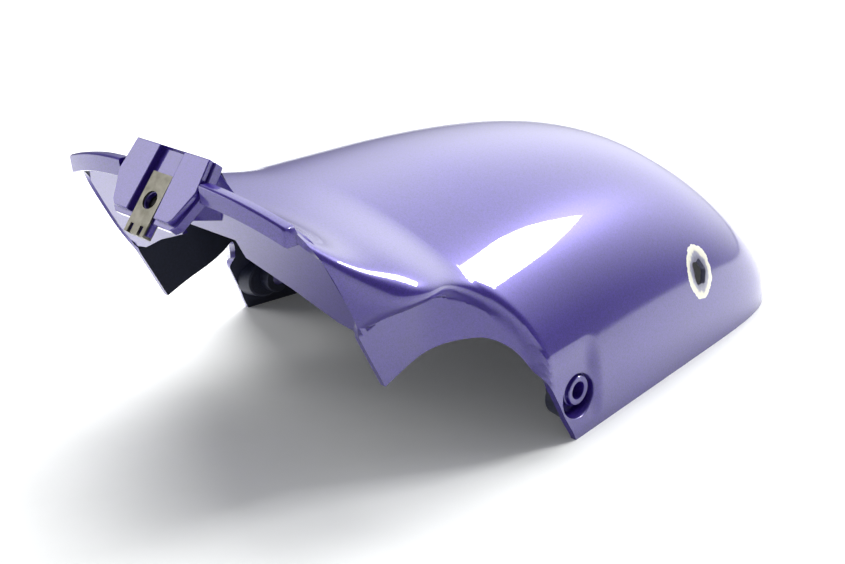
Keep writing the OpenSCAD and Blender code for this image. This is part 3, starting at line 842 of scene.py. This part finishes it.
def boss_rings(boss, sign):
    """One boss as rings about its bore, each an outline in X and Z at a place or places in Y.

    They go from the skin's edge down the oval recess, up the stepped ring, through the bore and back round
    behind. The recess's edge is a quarter circle, and its outer rings follow the skin.
    """
    ring, face, bore = boss.ring / MM / 2, boss.face / MM / 2, boss.bore / MM / 2
    top, end = BOSS_FACE_HALF, BOSS_FACE_HALF - BOSS_LENGTH
    bed, under = top - BOSS_RECESS_DEPTH, top - BOSS_RECESS_DEPTH - WALL
    angles = np.linspace(0, 2 * math.pi, BOSS_CORNERS + 1)[:-1]
    around = np.stack([np.cos(angles), np.sin(angles)], -1)

    def oval(more):
        return np.array(RECESS) + recess_radius(angles, more)[:, None] * around

    def circle(radius):
        return np.array([BOSS_X, BOSS_Z]) + radius * around

    turn = np.linspace(0, math.pi / 2, 5)
    edge = [oval(RECESS_EDGE * (1 - math.sin(t))) for t in turn]
    rings = [(place, side(*place.T) - RECESS_EDGE * (1 - math.cos(t))) for place, t in zip(edge, turn)]
    rings += [(oval(more), y) for more, y in ((0, bed + 0.9), (-0.3, bed + 0.25), (-0.9, bed))]
    rings += [(circle(radius), y) for radius, y in (
        (ring + 0.4, bed), (ring, bed + 0.3), (ring, top - 2.2), (ring - 0.15, top - 1.95),
        (ring - 0.7, top - 1.8), (ring - 0.8, top - 1.6), (face + 0.05, top - 0.8), (face, top - 0.35),
        (face - 0.3, top), (bore + 0.5, top), (bore + 0.15, top - 0.15), (bore, top - 0.5),
        (bore, end), (ring - 0.3, end), (ring, end + 0.3), (ring, under))]
    rings += [(oval(-0.4), under), (oval(0.6), under + 0.6)]
    rings += [(place, side(*place.T) - WALL + 0.4) for place in (oval(1.8), oval(0.6))]
    return np.stack([cross_plate(place, sign * y)[0] for place, y in rings])


def build_bosses():
    """Both side bosses with their recesses, painted in front and bare behind."""
    boss = bpy.context.scene.mudguard_boss
    parts = [(boss_rings(boss, sign), True, False) for sign in (-1, 1)]
    ring = np.arange(len(parts[0][0]))
    groups = np.tile(np.repeat((ring >= BOSS_PAINTED_RINGS).astype(int), BOSS_CORNERS), 2)
    return turned_out(new_piece("side_bosses", *joined(parts), (paint(), back()), groups, smooth=30))


# Stage

def lay_floor():
    """A flat floor of 12 by 12 metres."""
    across = np.linspace(-FLOOR_HALF, FLOOR_HALF, 7)
    points = np.stack(np.meshgrid(across, across, [0.0], indexing="ij"), -1).reshape(-1, 3)
    at = np.arange(49).reshape(7, 7)
    faces = np.stack([at[:-1, :-1], at[1:, :-1], at[1:, 1:], at[:-1, 1:]], -1).reshape(-1, 4)
    mesh = bpy.data.meshes.new("studio_floor")
    mesh.from_pydata(points.tolist(), [], faces.tolist())
    mesh.polygons.foreach_set("use_smooth", np.ones(len(faces), bool))
    mesh.materials.append(shared("studio_paper", floor_material))
    floor = bpy.data.objects.new("studio_floor", mesh)
    bpy.context.scene.collection.objects.link(floor)


def soft_light(name, place, aim, size, power, glossy=True):
    """A rectangular area light at a place in metres that faces an aim."""
    lamp = bpy.data.lights.new(name, "AREA")
    lamp.shape = "RECTANGLE"
    lamp.size, lamp.size_y = size
    lamp.energy = power
    obj = bpy.data.objects.new(name, lamp)
    bpy.context.scene.collection.objects.link(obj)
    x, y, z = np.array(aim) - np.array(place)
    obj.location = place
    obj.rotation_euler = (math.atan2(math.hypot(x, y), -z), 0, math.atan2(-x, y))
    obj.visible_glossy = glossy


def fill_room(settings):
    """Pale surroundings that the camera sees white, and that brighten by a smooth step towards one wall."""
    world = bpy.data.worlds.new("pale_room")
    bpy.context.scene.world = world
    world.use_nodes = True
    tree = world.node_tree
    sky = tree.nodes["Background"]
    sky.inputs["Color"].default_value = (*linear("F4F6F8"), 1)
    seen = node(tree, "ShaderNodeLightPath")
    way = node(tree, "ShaderNodeTexCoord")
    toward = node(tree, "ShaderNodeVectorMath", {"operation": "DOT_PRODUCT"}, {1: GLOW_WAY},
                  {0: way.outputs["Generated"]})
    glow = node(tree, "ShaderNodeMapRange", {"interpolation_type": "SMOOTHSTEP"}, {
        "From Min": 0.62, "From Max": 1.0, "To Min": settings.air, "To Max": settings.glow},
        {"Value": toward.outputs["Value"]})
    strength = node(tree, "ShaderNodeMix", {"data_type": "FLOAT"}, {3: 1.0},
                    {0: seen.outputs["Is Camera Ray"], 2: glow.outputs["Result"]})
    tree.links.new(strength.outputs[0], sky.inputs["Strength"])


def place_camera(settings):
    """The camera where the photographer stood, by the place and turn that the moulding's symmetry gives."""
    data = bpy.data.cameras.new("camera")
    data.sensor_width = 36
    data.lens = settings.lens
    camera = bpy.data.objects.new("camera", data)
    bpy.context.scene.collection.objects.link(camera)
    camera.location = ((CAMERA_AT[0] - CENTRE_X) * MM, CAMERA_AT[1] * MM, CAMERA_AT[2] * MM)
    camera.rotation_euler = (math.radians(CAMERA_TILT), 0, math.radians(CAMERA_TURN))
    bpy.context.scene.camera = camera


# Operators

class MUDGUARD_OT_shell(Operator):
    """Build the moulded shell with its fork pockets and broken hole"""
    bl_idname = "mudguard.shell"
    bl_label = "Shell"

    def execute(self, context):
        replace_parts(build_shell(), "mudguard")
        return {"FINISHED"}


class MUDGUARD_OT_rear(Operator):
    """Build the rear wall, the ledge and the tongue"""
    bl_idname = "mudguard.rear"
    bl_label = "Rear wall, ledge and tongue"

    def execute(self, context):
        build_rear_wall()
        build_ledge()
        build_tongue()
        return {"FINISHED"}


class MUDGUARD_OT_bosses(Operator):
    """Build the two side bosses"""
    bl_idname = "mudguard.bosses"
    bl_label = "Side bosses"

    def execute(self, context):
        build_bosses()
        return {"FINISHED"}


class MUDGUARD_OT_nut(Operator):
    """Finish the spring nut"""
    bl_idname = "mudguard.nut"
    bl_label = "Spring nut"

    def execute(self, context):
        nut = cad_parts["clip_nut"]
        nut.data.materials.clear()
        nut.data.materials.append(shared("phosphated_spring_steel", steel_material))
        return {"FINISHED"}


class MUDGUARD_OT_stage(Operator):
    """Lay the floor, set the lights and place the camera"""
    bl_idname = "mudguard.stage"
    bl_label = "Stage"

    def execute(self, context):
        settings = context.scene.mudguard_stage
        context.scene.view_settings.view_transform = "Standard"
        lay_floor()
        soft_light("softbox_above", (0.40, 0.55, 1.05), (0.05, 0.0, 0.05), (1.2, 1.2), settings.top_power,
                   glossy=False)
        soft_light("softbox_left", (-1.00, 1.05, 0.95), (-0.15, 0.0, 0.12), (0.9, 0.9), settings.left_power)
        soft_light("softbox_window", (1.26, -0.50, 1.05), (-0.03, -0.08, 0.08), (0.38, 0.26),
                   settings.window_power)
        fill_room(settings)
        place_camera(settings)
        return {"FINISHED"}


class MUDGUARD_PT_panel(Panel):
    """Lists the pieces of the mudguard"""
    bl_label = "Mudguard"
    bl_idname = "MUDGUARD_PT_panel"
    bl_space_type = "VIEW_3D"
    bl_region_type = "UI"
    bl_category = "Mudguard"

    def draw(self, context):
        for piece in ("shell", "rear", "bosses", "nut", "stage"):
            self.layout.operator("mudguard." + piece)
        scene = context.scene
        for group in (scene.mudguard_finish, scene.mudguard_boss, scene.mudguard_stage):
            for key in group.__annotations__:
                self.layout.prop(group, key)


CLASSES = (FinishSettings, BossSettings, StageSettings, MUDGUARD_OT_shell, MUDGUARD_OT_rear,
           MUDGUARD_OT_bosses, MUDGUARD_OT_nut, MUDGUARD_OT_stage, MUDGUARD_PT_panel)


def register():
    """Registers the classes and hangs the three groups of settings on the scene."""
    for cls in CLASSES:
        bpy.utils.register_class(cls)
    bpy.types.Scene.mudguard_finish = PointerProperty(type=FinishSettings)
    bpy.types.Scene.mudguard_boss = PointerProperty(type=BossSettings)
    bpy.types.Scene.mudguard_stage = PointerProperty(type=StageSettings)


def unregister():
    """Takes back what register did."""
    for name in ("mudguard_finish", "mudguard_boss", "mudguard_stage"):
        delattr(bpy.types.Scene, name)
    for cls in reversed(CLASSES):
        bpy.utils.unregister_class(cls)


def main():
    """Builds the pieces in order."""
    register()
    bpy.ops.mudguard.shell()
    bpy.ops.mudguard.rear()
    bpy.ops.mudguard.bosses()
    bpy.ops.mudguard.nut()
    bpy.ops.mudguard.stage()


if __name__ == "__main__":
    main()
